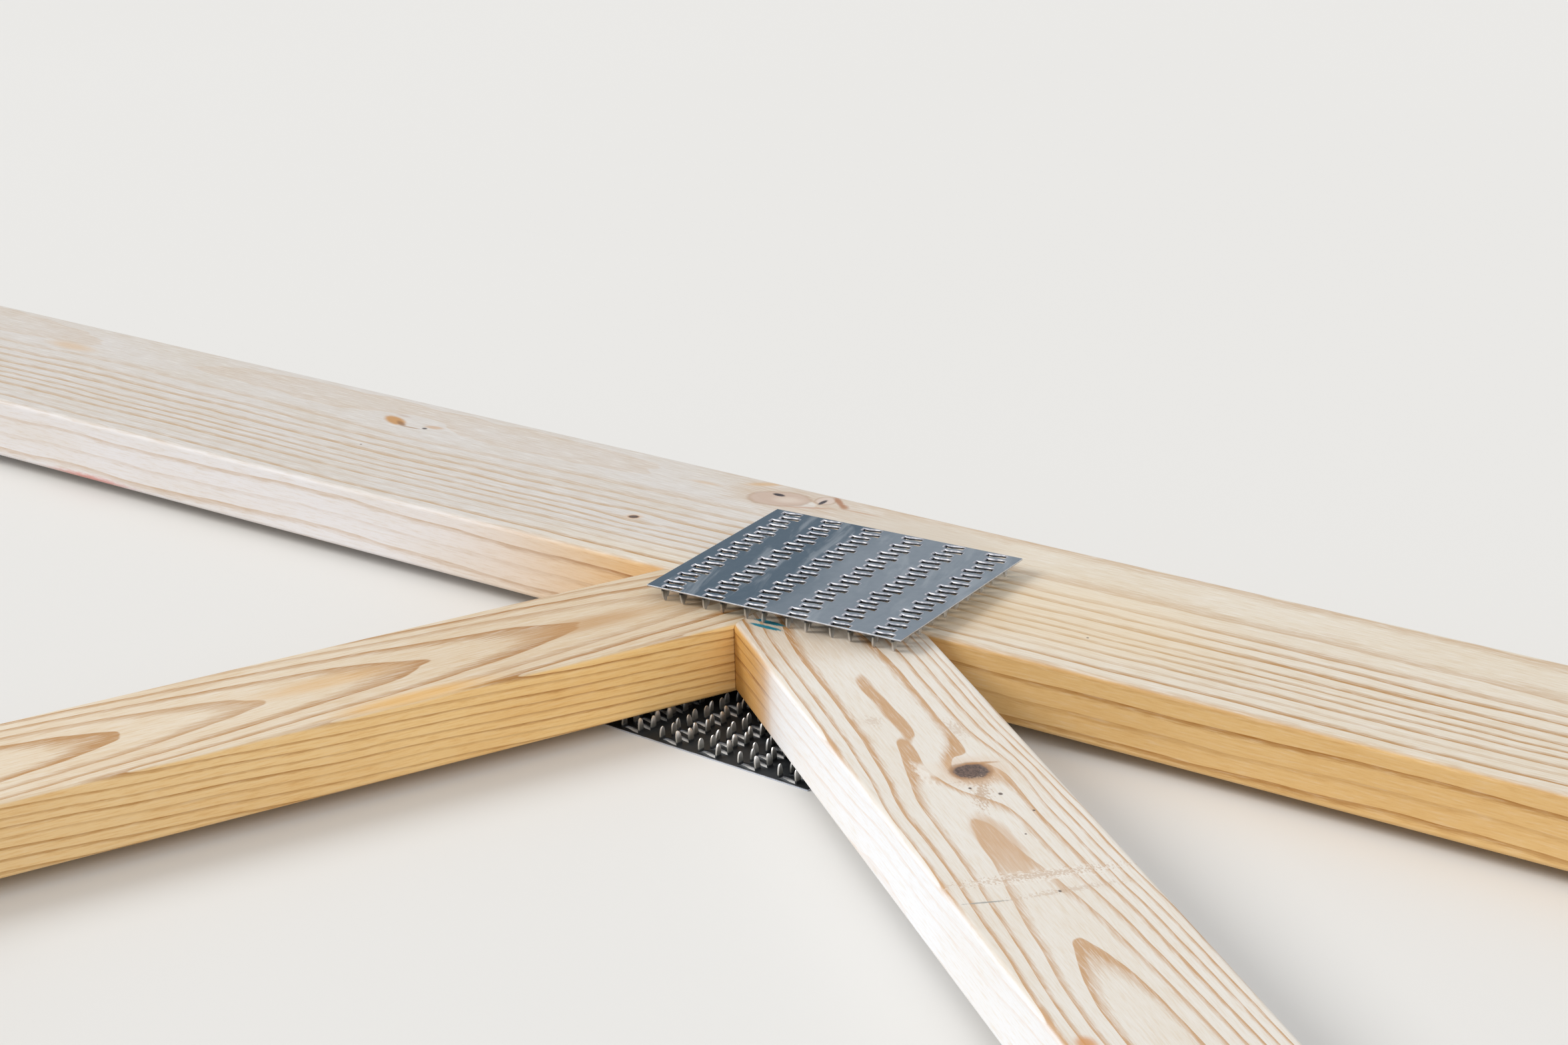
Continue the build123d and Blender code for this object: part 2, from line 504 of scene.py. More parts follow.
def lumber(name, wood):
    """The finish of one board."""
    material, tree, shader, place, normal = new_material(name)
    along, across, depth = board_place(place, wood)
    seed = wood["seed"]
    part, tone, year = years(distance_from_heart(along, across, depth, wood), wood)
    fade = noise(join(along / FADE_LENGTH + seed, year * 3.7, seed), detail=1.0)
    edge = soft_step(depth, *FACE_ROLL)
    top = 1 - edge
    fibre_place = join(along / FIBRE_LENGTH + seed, across * FIBRES_PER_MM, depth * FIBRES_PER_MM)
    fibre = noise(fibre_place, detail=4.0, roughness=0.65)
    late = part + (fade - 0.5) * FADE_SHIFT + (fibre - 0.5) * FIBRE_SHIFT - edge * EDGE_SHIFT
    rise = soft_step(late, wood["early"], wood["early"] + RISE_WIDTH)
    latewood = rise * RISE_SHARE + soft_step(late, *LATEST) * (1 - RISE_SHARE)
    latewood = latewood * (1 - soft_step(part, *YEAR_END))
    lead = wood["lead"] * (1 - soft_step(across, *LEAD_ACROSS))
    zone = follow(along + lead, wood["zone"])

    long, wide = CLOUD_SIZE
    cloud = noise(join(along / long + seed, across / wide, depth / wide), detail=2.5)
    colour = ends_and_faces(wood["cream"], zone, edge)
    colour = blend_colour(soft_step(cloud, *CLOUD_FROM), colour, wood["cloud"], "MULTIPLY")
    band = latewood * tone * (fade * 0.6 + 0.75)
    colour = blend_colour(band, colour, ends_and_faces(wood["tan"], zone, edge))

    hair_place = join(along / HAIR_LENGTH, across * HAIRS_PER_MM + seed, depth * HAIRS_PER_MM)
    hair = noise(hair_place, detail=2.0)
    for lines, span, strength in ((fibre, FIBRE_FROM, FIBRE_STRENGTH), (hair, HAIR_FROM, HAIR_STRENGTH)):
        colour = blend_colour(soft_step(lines, *span) * strength, colour, wood["fibre"], "MULTIPLY")
    bloom = (1 - soft_step(fibre, *BLOOM_UP_TO)) * wood["bloom"] * (1 - edge * 0.7)
    colour = blend_colour(bloom, colour, BLOOM)

    sawn = sawn_end(normal, wood["angle"])
    colour = blend_colour(sawn * SAWN_STRENGTH, colour, SAWN, "MULTIPLY")
    for knot in wood["knots"]:
        colour = paint_knot(colour, along, across, top, knot)
    for mark in wood["marks"]:
        colour = paint_mark(colour, along, across, depth, top, mark)
    plug(tree, shader.inputs["Base Color"], colour)

    rough = WOOD_ROUGHNESS - 0.14 * latewood + (fibre - 0.5) * 0.2 + sawn * 0.15
    plug(tree, shader.inputs["Roughness"], rough)
    shader.inputs["Specular IOR Level"].default_value = WOOD_SHEEN
    height = latewood * 0.35 + fibre * 0.6 + hair * 0.25
    bump = height.node("ShaderNodeBump", strength=0.35, distance=0.0003, height=height)
    plug(tree, shader.inputs["Normal"], bump)
    return material


print("finish ready")

# %% [markdown]
# A dead knot is a branch's end: a dark oval with fine cracks, a brown rim, and a halo of resin in
# the wood round it. The marks are what handling leaves: resin patches, specks, a pencil line and
# crayon strokes; three soft patches on the bottom chord by its plate are partly painted shadow. All
# are ovals, soft or hard at their edge, and ragged where they crossed fibres.

# %% Knots and marks
KNOT_DARK = (0.085, 0.055, 0.045)
KNOT_BROWN = (0.17, 0.11, 0.085)
KNOT_RIM = (0.33, 0.17, 0.075)
RESIN = (0.66, 0.44, 0.27)
DIRT = (0.09, 0.06, 0.05)
WOBBLE_SIZE = 6
CRACK_SIZE = (2.4, 1.1)
CRACK_FROM = (0.40, 0.66)
KNOT_EDGE = (0.80, 1.0)
RIM_OUT_TO = (0.95, 1.35)
HALO_OUT_TO = (1.0, 2.6)


def paint_knot(colour, along, across, top, knot):
    """A dead knot over a colour."""
    if not knot["size"]:
        return colour
    wobble = noise(join(along / WOBBLE_SIZE, across / WOBBLE_SIZE), detail=2.0) - 0.5
    far = far_from(along, across, knot["middle"], knot["size"], knot["turn"]) + wobble * 0.45
    crack_place = join(along / CRACK_SIZE[0], across / CRACK_SIZE[1])
    cracks = noise(crack_place, detail=3.0, distortion=1.5)
    heart = blend_colour(soft_step(cracks, *CRACK_FROM), KNOT_DARK, KNOT_BROWN)
    halo = (1 - soft_step(far, *HALO_OUT_TO)) * 0.45 * top
    rim = (1 - soft_step(far, *RIM_OUT_TO)) * 0.85 * top
    colour = blend_colour(halo, colour, RESIN)
    colour = blend_colour(rim, colour, KNOT_RIM)
    return blend_colour((1 - soft_step(far, *KNOT_EDGE)) * top, colour, heart)


def paint_mark(colour, along, across, depth, top, mark):
    """A patch, a speck or a stroke over a colour, on the top or on the near edge."""
    if mark["on_edge"]:
        u, v = along, depth
        allowed = 1 - soft_step(across, 1.0, 3.0)
    else:
        u, v = along, across
        allowed = top
    far = far_from(u, v, mark["middle"], mark["reach"], mark["turn"])
    if mark["ragged"]:
        grit = noise(join(u / mark["grit"][0], v / mark["grit"][1]), detail=3.0) - 0.5
        far = far + grit * mark["ragged"]
    inside = (1 - soft_step(far, mark["core"], 1.0)) * allowed * mark["strength"]
    return blend_colour(inside, colour, mark["paint"])


def knot(middle, size, reach, bow, push=0.0, turn=0.0):
    """A knot's place and size, how far round it the fibres part, and by how much."""
    return {"middle": middle, "size": size, "reach": reach, "bow": bow, "push": push, "turn": turn}


PLAIN_MARK = {"core": 0.2, "turn": 0.0, "ragged": 0.0, "grit": (4.0, 1.5), "on_edge": False}


def mark(middle, reach, paint, strength=1.0, **changes):
    """A mark's place, size and colour: soft with a low core, hard with a high one."""
    own = {"middle": middle, "reach": reach, "paint": paint, "strength": strength}
    return {**PLAIN_MARK, **own, **changes}


def speck(along, across, size=0.9):
    """A small dark fleck of bark or dirt."""
    return mark((along, across), (size * 1.3, size), DIRT, 0.9, core=0.4)


print("knots and marks ready")

# %% [markdown]
# The short web shows the classic flat-sawn face: pointed arches one behind another, and on its
# edge eight lines that open a little downwards. Both come from a heart 80 mm under the face at the
# joint, rising slowly towards the rafter, with a ring every 4 mm or less.

# %% The short web's timber
SHORT_YEARS = [36, 40.5, 44, 47, 50.8, 54.3, 58, 61.7, 65.4, 68.8]
SHORT_YEARS += [72.9, 76.9, 81.0, 84.7, 88.4, 92.1, 96, 100]
SHORT_WEB = {
    "origin": seam_end,
    "angle": SHORT_WEB_ANGLE,
    "far_side": -1,
    "seed": 2.3,
    "early": 0.50,
    "heart_across": 43.0,
    "heart_depth": [(0, 80.0), (150, 73.0), (241, 68.7), (312, 65.3), (620, 50.0)],
    "sway": 2.2,
    "ripple": 0.42,
    "ends": SHORT_YEARS,
    "tones": [0.9, 1.0, 0.8, 1.0, 0.9, 1.0, 0.5, 1.0, 0.7, 1.0, 0.95, 0.5, 1.0, 0.7, 1.0, 0.6, 1.0],
    "zone": [(10.0, 0.0), (330.0, 1.0)],
    "lead": 0.0,
    # The last two colours of cream and of tan are the edges': painted warm bounce light.
    "cream": [(0.69, 0.56, 0.40), (0.80, 0.69, 0.54), (0.93, 0.62, 0.25), (0.87, 0.61, 0.30)],
    "tan": [(0.41, 0.205, 0.065), (0.50, 0.275, 0.105), (0.38, 0.15, 0.025), (0.46, 0.22, 0.05)],
    "cloud": (0.94, 0.88, 0.80),
    "fibre": (0.90, 0.80, 0.67),
    "bloom": 0.25,
    "knots": [],
    "marks": [
        mark((175, 6), (60, 10), (0.80, 0.45, 0.11), 0.7),
        mark((62, 42), (60, 13), (0.50, 0.26, 0.085), 0.65, ragged=0.4, grit=(30.0, 4.0)),
        mark((205, 46), (55, 12), (0.72, 0.42, 0.15), 0.45, ragged=0.4, grit=(30.0, 4.0)),
    ],
}
print("short web: heart at", SHORT_WEB["heart_depth"][0][1], "mm")

# %% [markdown]
# The long web has its heart closer, so its arches are wider and its edge lines spread out quickly
# downwards. A knot parts its fibres. It carries two crayon strokes by the joint, a pencil line,
# rough bands where the planer's knives chattered, and a few specks.

# %% The long web's timber
CHATTER = (0.52, 0.36, 0.24)
PLANED = (0.84, 0.79, 0.72)
TEAL_CRAYON = (0.015, 0.20, 0.27)
PENCIL = (0.33, 0.33, 0.31)
FLARE = (0.46, 0.24, 0.10)
LONG_HEART = [(0, 45.0), (79, 42.6), (140, 42.4), (190, 41.3), (240, 38.1), (300, 36.9)]
LONG_HEART += [(372, 33.6), (520, 30.0), (900, 36.0), (1300, 27.0), (1800, 34.0)]
LONG_WEB = {
    "origin": seam_end,
    "angle": pi - LONG_WEB_ANGLE,
    "far_side": 1,
    "seed": 5.2,
    "early": 0.58,
    "heart_across": 38.0,
    "heart_depth": LONG_HEART,
    "sway": 2.2,
    "ripple": 0.4,
    "ends": [8, 12.5, 17, 21, 25.2, 29.4, 33.6, 38.0, 42.6, 47.4, 51.5, 55.5, 59.5, 62.3, 65.8, 69, 73],
    "tones": [0.9, 1.0, 0.8, 1.0, 0.9, 1.0, 0.8, 0.95, 1.0, 0.95, 1.0, 1.0, 0.8, 1.0, 1.0, 0.9],
    "zone": [(0.0, 0.0), (30.0, 0.05), (58.0, 0.5), (90.0, 1.0), (500.0, 1.0), (1000.0, 0.7)],
    "lead": 0.0,
    # The edges' far colours are near white: painted light for daylight washing over this side.
    "cream": [(0.67, 0.57, 0.46), (0.79, 0.745, 0.68), (0.60, 0.32, 0.075), (0.87, 0.89, 0.93)],
    "tan": [(0.47, 0.25, 0.095), (0.57, 0.36, 0.20), (0.33, 0.13, 0.02), (0.82, 0.76, 0.73)],
    "cloud": (0.97, 0.945, 0.91),
    "fibre": (0.94, 0.88, 0.80),
    "bloom": 0.30,
    "knots": [knot((206, 53), (8.9, 8.2), (30, 17), 9.0, push=4.5, turn=53)],
    "marks": [
        mark((281, 39), (37, 10.5), (0.60, 0.39, 0.23), 0.60, core=0.65, ragged=0.5, grit=(30.0, 3.0)),
        mark((198, 35), (11, 6), (0.79, 0.72, 0.63), 0.8, core=0.4, ragged=0.4, grit=(12.0, 4.0)),
        mark((199, 60), (1.8, 11), FLARE, 0.75, core=0.3, turn=-10, ragged=0.8, grit=(4.0, 2.0)),
        mark((176, 54), (14, 1.5), (0.50, 0.28, 0.12), 0.65, turn=-13, ragged=0.9),
        mark((455, 9), (9, 6), (0.62, 0.27, 0.07), 0.8, core=0.3),
        mark((315, 45), (6.0, 40), PLANED, 0.70, core=0.3, turn=-4, ragged=3.0, grit=(2.5, 3.0)),
        mark((314, 45), (4.0, 38), CHATTER, 0.55, turn=-4, ragged=4.5, grit=(1.8, 1.1)),
        mark((331, 50), (2.6, 28), CHATTER, 0.40, ragged=4.5, grit=(1.8, 1.1)),
        mark((202, 31), (19, 4), PLANED, 0.8, ragged=2.2, grit=(4.0, 1.6)),
        mark((231, 49), (18, 5), CHATTER, 0.75, core=0.1, turn=-18, ragged=3.6, grit=(2.6, 1.2)),
        mark((216, 52), (5, 12), CHATTER, 0.6, core=0.1, ragged=3.2, grit=(2.0, 1.2)),
        mark((160, 62), (12, 6), CHATTER, 0.4, core=0.1, ragged=3.6, grit=(3.0, 1.2)),
        mark((138, 28), (7, 5), CHATTER, 0.35, core=0.1, ragged=3.6, grit=(3.0, 1.2)),
        mark((330.3, 14), (0.9, 12.5), PENCIL, 0.85, core=0.4, turn=-8.5, ragged=0.9),
        mark((4.5, 17.8), (11.5, 2.3), TEAL_CRAYON, core=0.6, turn=38, ragged=0.6, grit=(3.0, 1.0)),
        mark((9, 14.0), (12, 2.1), TEAL_CRAYON, core=0.6, turn=38, ragged=0.6, grit=(3.0, 1.0)),
        speck(233, 57, 1.4),
        speck(223, 46, 1.1),
        speck(254, 65),
        speck(275, 53, 0.7),
        speck(331, 47, 1.0),
    ],
}
print("long web: knots", len(LONG_WEB["knots"]), "marks", len(LONG_WEB["marks"]))

# %% [markdown]
# The bottom chord is wider and was cut further from the heart, so its years are twice as broad:
# pale along its outer edge and lined towards the webs. It is whitish on one side of the joint and
# yellower on the other, and the ochre end of its near edge is partly painted shade. A broad double
# knot lies at its outer edge, half under the plate.

# %% The bottom chord's timber
KNOT_PINK = (0.56, 0.43, 0.35)
SLIT = (0.035, 0.025, 0.03)
BROAD = {"ragged": 0.25, "grit": (9.0, 6.0)}
SMALL = {"ragged": 0.3, "grit": (6.0, 4.0)}
RED_CRAYON = (0.62, 0.13, 0.09)
CHORD_HEART = [(-2300, 92.0), (-1500, 104.0), (-900, 97.5), (-617, 99.6), (-582, 100.0)]
CHORD_HEART += [(-547, 99.6), (-330, 98.2), (-80, 100.6), (200, 101.2), (700, 101.0)]
CHORD_HEART += [(1500, 95.0), (2500, 104.0), (3800, 96.0), (5200, 105.0)]
CHORD_YEARS = [77, 82, 87, 91.5, 95.6, 99.6, 103.3, 107.7, 111.4, 116.6, 121.5, 125.6]
CHORD_YEARS += [130, 135.9, 141.4, 148, 154, 160, 166]
CHORD_TONES = [0.8, 0.9, 0.7, 0.45, 0.3, 0.5, 0.7, 0.9, 1.0]
CHORD_TONES += [0.95, 1.0, 0.9, 0.9, 0.4, 1.0, 0.5, 0.95, 0.9]
BOTTOM_CHORD = {
    "origin": Vector((seam_x, chord_high.y, board_top)),
    "angle": pi,
    "far_side": 1,
    "seed": 8.4,
    "early": 0.52,
    "heart_across": 117.0,
    "heart_depth": CHORD_HEART,
    "sway": 3.0,
    "ripple": 0.55,
    "ends": CHORD_YEARS,
    "tones": CHORD_TONES,
    "zone": [(-2400.0, 0.5), (-700.0, 0.0), (-160.0, 0.0), (120.0, 1.0), (900.0, 1.0), (3000.0, 0.6)],
    "lead": 140.0,
    # The last colour of each list, for the edges at the far end, is partly painted shade.
    "cream": [(0.665, 0.63, 0.60), (0.755, 0.68, 0.57), (0.75, 0.73, 0.74), (0.71, 0.46, 0.19)],
    "tan": [(0.54, 0.39, 0.25), (0.46, 0.25, 0.085), (0.58, 0.45, 0.34), (0.35, 0.15, 0.025)],
    "cloud": (0.96, 0.93, 0.88),
    "fibre": (0.92, 0.86, 0.78),
    "bloom": 0.35,
    "knots": [
        knot((-139, 52), (2.9, 2.1), (18, 9), 2.5, turn=20),
        knot((-352, 104), None, (40, 16), 7.0, push=2.0),
        knot((-86, 120), None, (54, 20), 11.0, push=3.0),
    ],
    "marks": [
        mark((-87.5, 118.5), (20.5, 12.3), KNOT_RIM, 0.50, core=0.85, turn=17, **BROAD),
        mark((-87.5, 118.7), (19.3, 11.1), KNOT_PINK, 0.95, core=0.8, turn=17, **BROAD),
        mark((-82, 119.5), (13, 7), (0.68, 0.58, 0.50), 0.8, turn=17, ragged=0.5),
        mark((-63.5, 129.5), (7.2, 7.2), KNOT_RIM, 0.40, core=0.8, **SMALL),
        mark((-63.5, 129.5), (6.2, 6.2), (0.66, 0.55, 0.48), 0.9, core=0.7, **SMALL),
        mark((-91.3, 123.5), (5.0, 2.3), SLIT, core=0.55),
        mark((-63.5, 126.7), (1.9, 5.4), SLIT, core=0.5),
        mark((-56, 132), (13, 2.8), (0.36, 0.15, 0.06), 0.85, core=0.3, turn=-41, ragged=0.3),
        mark((-49, 127), (6, 3.6), (0.38, 0.17, 0.07), 0.8, turn=-41),
        mark((-34, 124.6), (17, 1.6), (0.48, 0.26, 0.13), 0.65, turn=2),
        mark((-66, 115.5), (21, 1.5), (0.48, 0.25, 0.16), 0.6, core=0.3, turn=24),
        mark((-108, 133), (16, 4.5), (0.62, 0.37, 0.15), 0.6, turn=30),
        mark((-138, 117), (15, 3.0), (0.62, 0.42, 0.25), 0.5, turn=4),
        mark((-362, 103.5), (13, 6.0), (0.52, 0.25, 0.06), 0.9, core=0.5, turn=-20, ragged=0.3),
        mark((-355, 101), (8, 2.6), (0.27, 0.13, 0.05), 0.8, core=0.3, turn=-28),
        mark((-345, 98.6), (9, 1.1), (0.40, 0.25, 0.15), 0.8, core=0.4, turn=5),
        mark((-336.8, 101.6), (2.4, 1.8), SLIT, 0.9, core=0.4),
        mark((-333, 106), (9, 3.5), (0.58, 0.38, 0.24), 0.75, core=0.3, turn=10),
        mark((-363, 112.5), (9, 2), (0.50, 0.37, 0.30), 0.6),
        # These three soft patches by the plate are a golden tone and partly painted shadow of the plate
        # and of a hand over it.
        mark((140, 60), (130, 62), (0.80, 0.62, 0.38), 0.35, core=0.3),
        mark((74, 30), (62, 42), (0.60, 0.43, 0.25), 0.55, ragged=0.5, grit=(40.0, 5.0)),
        mark((10, 118), (70, 22), (0.62, 0.54, 0.45), 0.55, core=0.3),
        mark((-640, 101), (30, 9), (0.66, 0.42, 0.20), 0.5),
        mark((-520, 36.5), (52, 3.4), RED_CRAYON, 0.65, core=0.1, ragged=0.8, on_edge=True),
        speck(-350, 60, 0.8),
        speck(160, 40, 0.8),
    ],
}
print("bottom chord: years shown", len(BOTTOM_CHORD["ends"]))

# %% [markdown]
# The other boards are from like timber, so each starts from one of these three and gets its own
# years, heart and knots from a seeded draw.

# %% Choose the other boards' timber
WIDTH_OF_YEARS = 125
YEAR_SPREAD = (0.75, 1.25)
HEART_STEPS = 8
chance = Random(14)


def like(wood, seed, width, knots=0, **changes):
    """Another board from like timber, with its own years, heart and knots."""
    length, breadth = changes.pop("size")
    count = 1 + int(WIDTH_OF_YEARS / width)
    ends = [3.0]
    while len(ends) <= count:
        ends.append(ends[-1] + width * chance.uniform(*YEAR_SPREAD))
    middle = wood["heart_depth"][0][1]
    steps = [index * length / HEART_STEPS for index in range(HEART_STEPS + 1)]
    heart = [(step, middle + chance.uniform(-6, 6)) for step in steps]
    shares = [(chance.uniform(0.05, 0.95), chance.uniform(0.15, 0.85)) for _ in range(knots)]
    places = [(share[0] * length, share[1] * breadth) for share in shares]
    timber = {
        **wood,
        "seed": seed,
        "heart_across": breadth * chance.uniform(0.35, 0.65),
        "heart_depth": heart,
        "ends": ends,
        "tones": [chance.uniform(0.55, 0.95) for _ in ends[1:]],
        "knots": [new_knot(place) for place in places],
        "marks": [],
    }
    return {**timber, **changes}


def new_knot(place):
    """A knot of a drawn size at a place."""
    size = chance.uniform(3.5, 9.0)
    reach = (size * 3.6, size * 1.9)
    return knot(place, (size, size * 0.8), reach, size * 0.8, size * 0.3, chance.uniform(-30, 30))


left_seam = Vector((-seam_x, seam_end.y, board_top))
ridge = Vector((0.0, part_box("top_chord_right")[1].y, board_top))
short_size, long_size, top_size = (620, 89), (1800, 89), (4250, 140)
# The same painted warm bounce light on the edges, milder, for the short web on the left.
MILD_BOUNCE = [(0.72, 0.58, 0.42), (0.80, 0.69, 0.54), (0.82, 0.61, 0.37), (0.83, 0.64, 0.41)]
GOLDEN = [(0.0, 0.45), (900.0, 0.25), (2600.0, 0.85), (4000.0, 0.6)]
strut = {"size": short_size, "origin": left_seam, "far_side": 1, "cream": MILD_BOUNCE}
tie = {"size": long_size, "origin": left_seam, "far_side": -1}
rafter = {"size": top_size, "origin": ridge, "zone": GOLDEN, "lead": 0.0}
boards = {
    "short_web_right": SHORT_WEB,
    "long_web_right": LONG_WEB,
    "bottom_chord": BOTTOM_CHORD,
    "short_web_left": like(SHORT_WEB, 21.7, 4.2, **strut, angle=pi - SHORT_WEB_ANGLE),
    "long_web_left": like(LONG_WEB, 33.1, 4.6, 2, **tie, angle=LONG_WEB_ANGLE),
    "top_chord_right": like(BOTTOM_CHORD, 44.9, 6.6, 5, **rafter, angle=-ROOF_ANGLE, far_side=-1),
    "top_chord_left": like(BOTTOM_CHORD, 57.3, 6.0, 4, **rafter, angle=pi + ROOF_ANGLE),
}
print("timber chosen for", len(boards), "boards")

# %% [markdown]
# The boards keep their CAD meshes, so dressing one is only a change of its material. Each gets a
# finish of its own, because no two boards are sawn from the same place of a tree.

# %% Dress the boards


def dress(node, finish):
    """Gives a CAD board its finish."""
    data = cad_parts[node].data
    data.materials.clear()
    data.materials.append(finish)


for node, wood in boards.items():
    dress(node, lumber(node + "_pine", wood))
print("boards dressed:", len(boards))

# %% [markdown]
# A nail plate is galvanised sheet that a press has punched in one stroke: each slot's metal is cut
# across and bent down into two pointed teeth, and the strips left between the slots are rolled
# over and pulled into a slight S. The sheet is built from like cells, one round each slot, so that
# its top, its slot walls and its teeth are one closed skin. A boolean would give the same slots,
# but slowly, and with none of the rounded shoulders that catch the light.

# %% Sizes of the punched sheet, in millimetres
BAND_PITCH = 25.4
ROW_PITCH = 6.35
SHEET = 1.0
TOOTH_REACH = 8.4
SLOT_HALF = 5.15
BEND_OUTSIDE = 1.3
HALF_WIDTH = 1.75
STAGGER = 1.35
WAVE = 0.55
MOST_TILT = 2.0
SHOULDER = SLOT_HALF + BEND_OUTSIDE
CELL_STEPS = (-1.0, -0.66, -0.33, 0.0, 0.33, 0.66, 1.0)
BORDER_STEPS = (-1.0, -0.5, -0.25, 0.0, 0.25, 0.5, 1.0)
EDGE_BREAK = 0.15
SLOT_CLEAR = 0.30
ROLL = ((0.78, 0.0), (0.58, 0.06), (0.32, 0.27), (0.0, 0.70))
LIP_DROP = 0.55
DROP_SKEW = 0.45
END_SHARE = 0.3
NODE_SHEET = (6, 20)
HEEL_SHEET = (4, 32)
STRUT_SHEET = (3, 16)


def strip_wave(offset):
    """How far the middle of a strip is pulled aside, at an offset along it."""
    return WAVE * sin(pi * offset / SHOULDER) if abs(offset) < SHOULDER else 0.0


def cell_border(x, y, straight):
    """The sixteen points round a cell, in order: waved where it meets the next row's cell."""
    half_x, half_y = BAND_PITCH / 2, ROW_PITCH / 2
    offsets = [step * half_x for step in BORDER_STEPS]
    front = [(x + go, y - half_y + (0.0 if straight[0] else strip_wave(go))) for go in offsets]
    back = [(x + go, y + half_y + (0.0 if straight[1] else strip_wave(go))) for go in reversed(offsets)]
    return front + [(x + half_x, y)] + back + [(x - half_x, y)]


def turned_point(point, x, y, tilt):
    """A point of a slot or of its tooth, moved to its slot's place."""
    px, py, pz = point
    return (x + px * cos(tilt) - py * sin(tilt), y + px * sin(tilt) + py * cos(tilt), pz)


def slot_border(x, y, tilt, grow, drop):
    """The sixteen points round a slot, in the same order, grown by a margin and sunk by a drop."""
    half = HALF_WIDTH + grow
    reach = SHOULDER + grow * END_SHARE
    points = []
    for side, steps in ((-1, CELL_STEPS), (1, CELL_STEPS[::-1])):
        for step in steps:
            sunk = drop * (1 - step ** 4) * (1 - DROP_SKEW * side * step)
            points.append((step * reach, WAVE * sin(pi * step) + side * half, -sunk))
        points.append((-side * reach, 0.0, 0.0))
    return [turned_point(point, x, y, tilt) for point in points]


print("slot", 2 * SLOT_HALF, "mm between its teeth")

# %% [markdown]
# A tooth starts at the sheet, goes round the bend, runs down as a shallow channel and narrows to a
# rounded point. Each cross-section is six points: three on the face that was the sheet's top, and
# three on its back. No two teeth leave the die quite alike, so each leans and twists a little.

# %% Build one tooth
TOOTH_STATIONS = (
    (3.0, 1.72, 1.00, 0.15),
    (5.2, 1.60, 1.00, 0.36),
    (6.9, 1.30, 0.92, 0.28),
    (7.95, 0.82, 0.75, 0.12),
    (8.4, 0.32, 0.45, 0.00),
)
BEND_STEPS = (45, 90)
MOST_TWIST = 14
MOST_LEAN = 0.11
chance = Random(7)


def tooth_sections(side):
    """The cross-sections of a tooth, from the sheet down, about its own slot's middle."""
    sections = []
    inside = BEND_OUTSIDE - SHEET
    for degrees_round in BEND_STEPS:
        turn = radians(degrees_round)
        face = (side * (SHOULDER - BEND_OUTSIDE * sin(turn)), -BEND_OUTSIDE * (1 - cos(turn)))
        back = (side * (SHOULDER - inside * sin(turn)), -BEND_OUTSIDE + inside * cos(turn))
        section = [(face[0], y, face[1]) for y in (-HALF_WIDTH, 0.0, HALF_WIDTH)]
        sections.append(section + [(back[0], y, back[1]) for y in (HALF_WIDTH, 0.0, -HALF_WIDTH)])
    most_twist = radians(chance.uniform(-MOST_TWIST, MOST_TWIST))
    lean_x, lean_y = chance.uniform(-MOST_LEAN, MOST_LEAN), chance.uniform(-MOST_LEAN, MOST_LEAN)
    centre = SLOT_HALF + SHEET / 2
    for down, half_width, thickness, channel in TOOTH_STATIONS:
        run = down - BEND_OUTSIDE
        twist = most_twist * run / (TOOTH_REACH - BEND_OUTSIDE)
        widths = (-half_width, 0.0, half_width)
        front = [(SLOT_HALF + (0.0 if y else channel), y) for y in widths]
        rear = [(x + thickness, y) for x, y in reversed(front)]
        section = []
        for x, y in front + rear:
            turned_x = centre + (x - centre) * cos(twist) - y * sin(twist)
            turned_y = y * cos(twist) + (x - centre) * sin(twist)
            section.append((side * (turned_x + lean_x * run), turned_y + lean_y * run, -down))
        sections.append(section)
    return sections


print("points in a tooth:", 6 * len(tooth_sections(1)))

# %% [markdown]
# The plate is then cells in rows and bands, a rim round the outside, and teeth on every slot. The
# corners that neighbouring cells share are merged at the end, so the sheet is one watertight mesh.

# %% Build a whole plate
MERGE_WITHIN = 1e-4
FLAT_FROM = 0.9999
SHARP_FROM = radians(40)


def ring_faces(form, first, second):
    """Quads between two loops of the same count."""
    count = len(first)
    for index in range(count):
        after = (index + 1) % count
        form.faces.new((first[index], first[after], second[after], second[index]))


def add_cell(form, x, y, row, rows, inset):
    """One cell: the sheet round a slot, the slot's walls and its two teeth."""
    tilt = radians(-MOST_TILT if row // 2 % 2 else MOST_TILT / 2)
    middle = x + (-STAGGER if row % 2 else STAGGER)
    border = [inset(point) for point in cell_border(x, y, (row == 0, row == rows - 1))]
    loops = [[form.verts.new((px, py, 0.0)) for px, py in border]]
    for grow, drop in ROLL:
        rounds = slot_border(middle, y, tilt, grow, drop)
        loops.append([form.verts.new((*inset((px, py), SLOT_CLEAR), pz)) for px, py, pz in rounds])
    lip = slot_border(middle, y, tilt, 0.0, LIP_DROP)
    low = [form.verts.new((px, py, pz - SHEET)) for px, py, pz in lip]
    rounds = slot_border(middle, y, tilt, ROLL[1][0], 0.0)
    flat = [form.verts.new((*inset((px, py), SLOT_CLEAR), -SHEET)) for px, py, _ in rounds]
    under = [form.verts.new((px, py, -SHEET)) for px, py in border]
    for outer, inner in zip(loops, loops[1:]):
        ring_faces(form, outer, inner)
    ring_faces(form, low, flat)
    ring_faces(form, flat, under)
    wall = loops[-1]
    for first, last in ((0, 6), (8, 14)):
        for index in range(first, last):
            form.faces.new((wall[index], wall[index + 1], low[index + 1], low[index]))
    add_tooth(form, 1, [wall[6], wall[7], wall[8], low[8], low[7], low[6]], middle, y, tilt)
    add_tooth(form, -1, [wall[0], wall[15], wall[14], low[14], low[15], low[0]], middle, y, tilt)


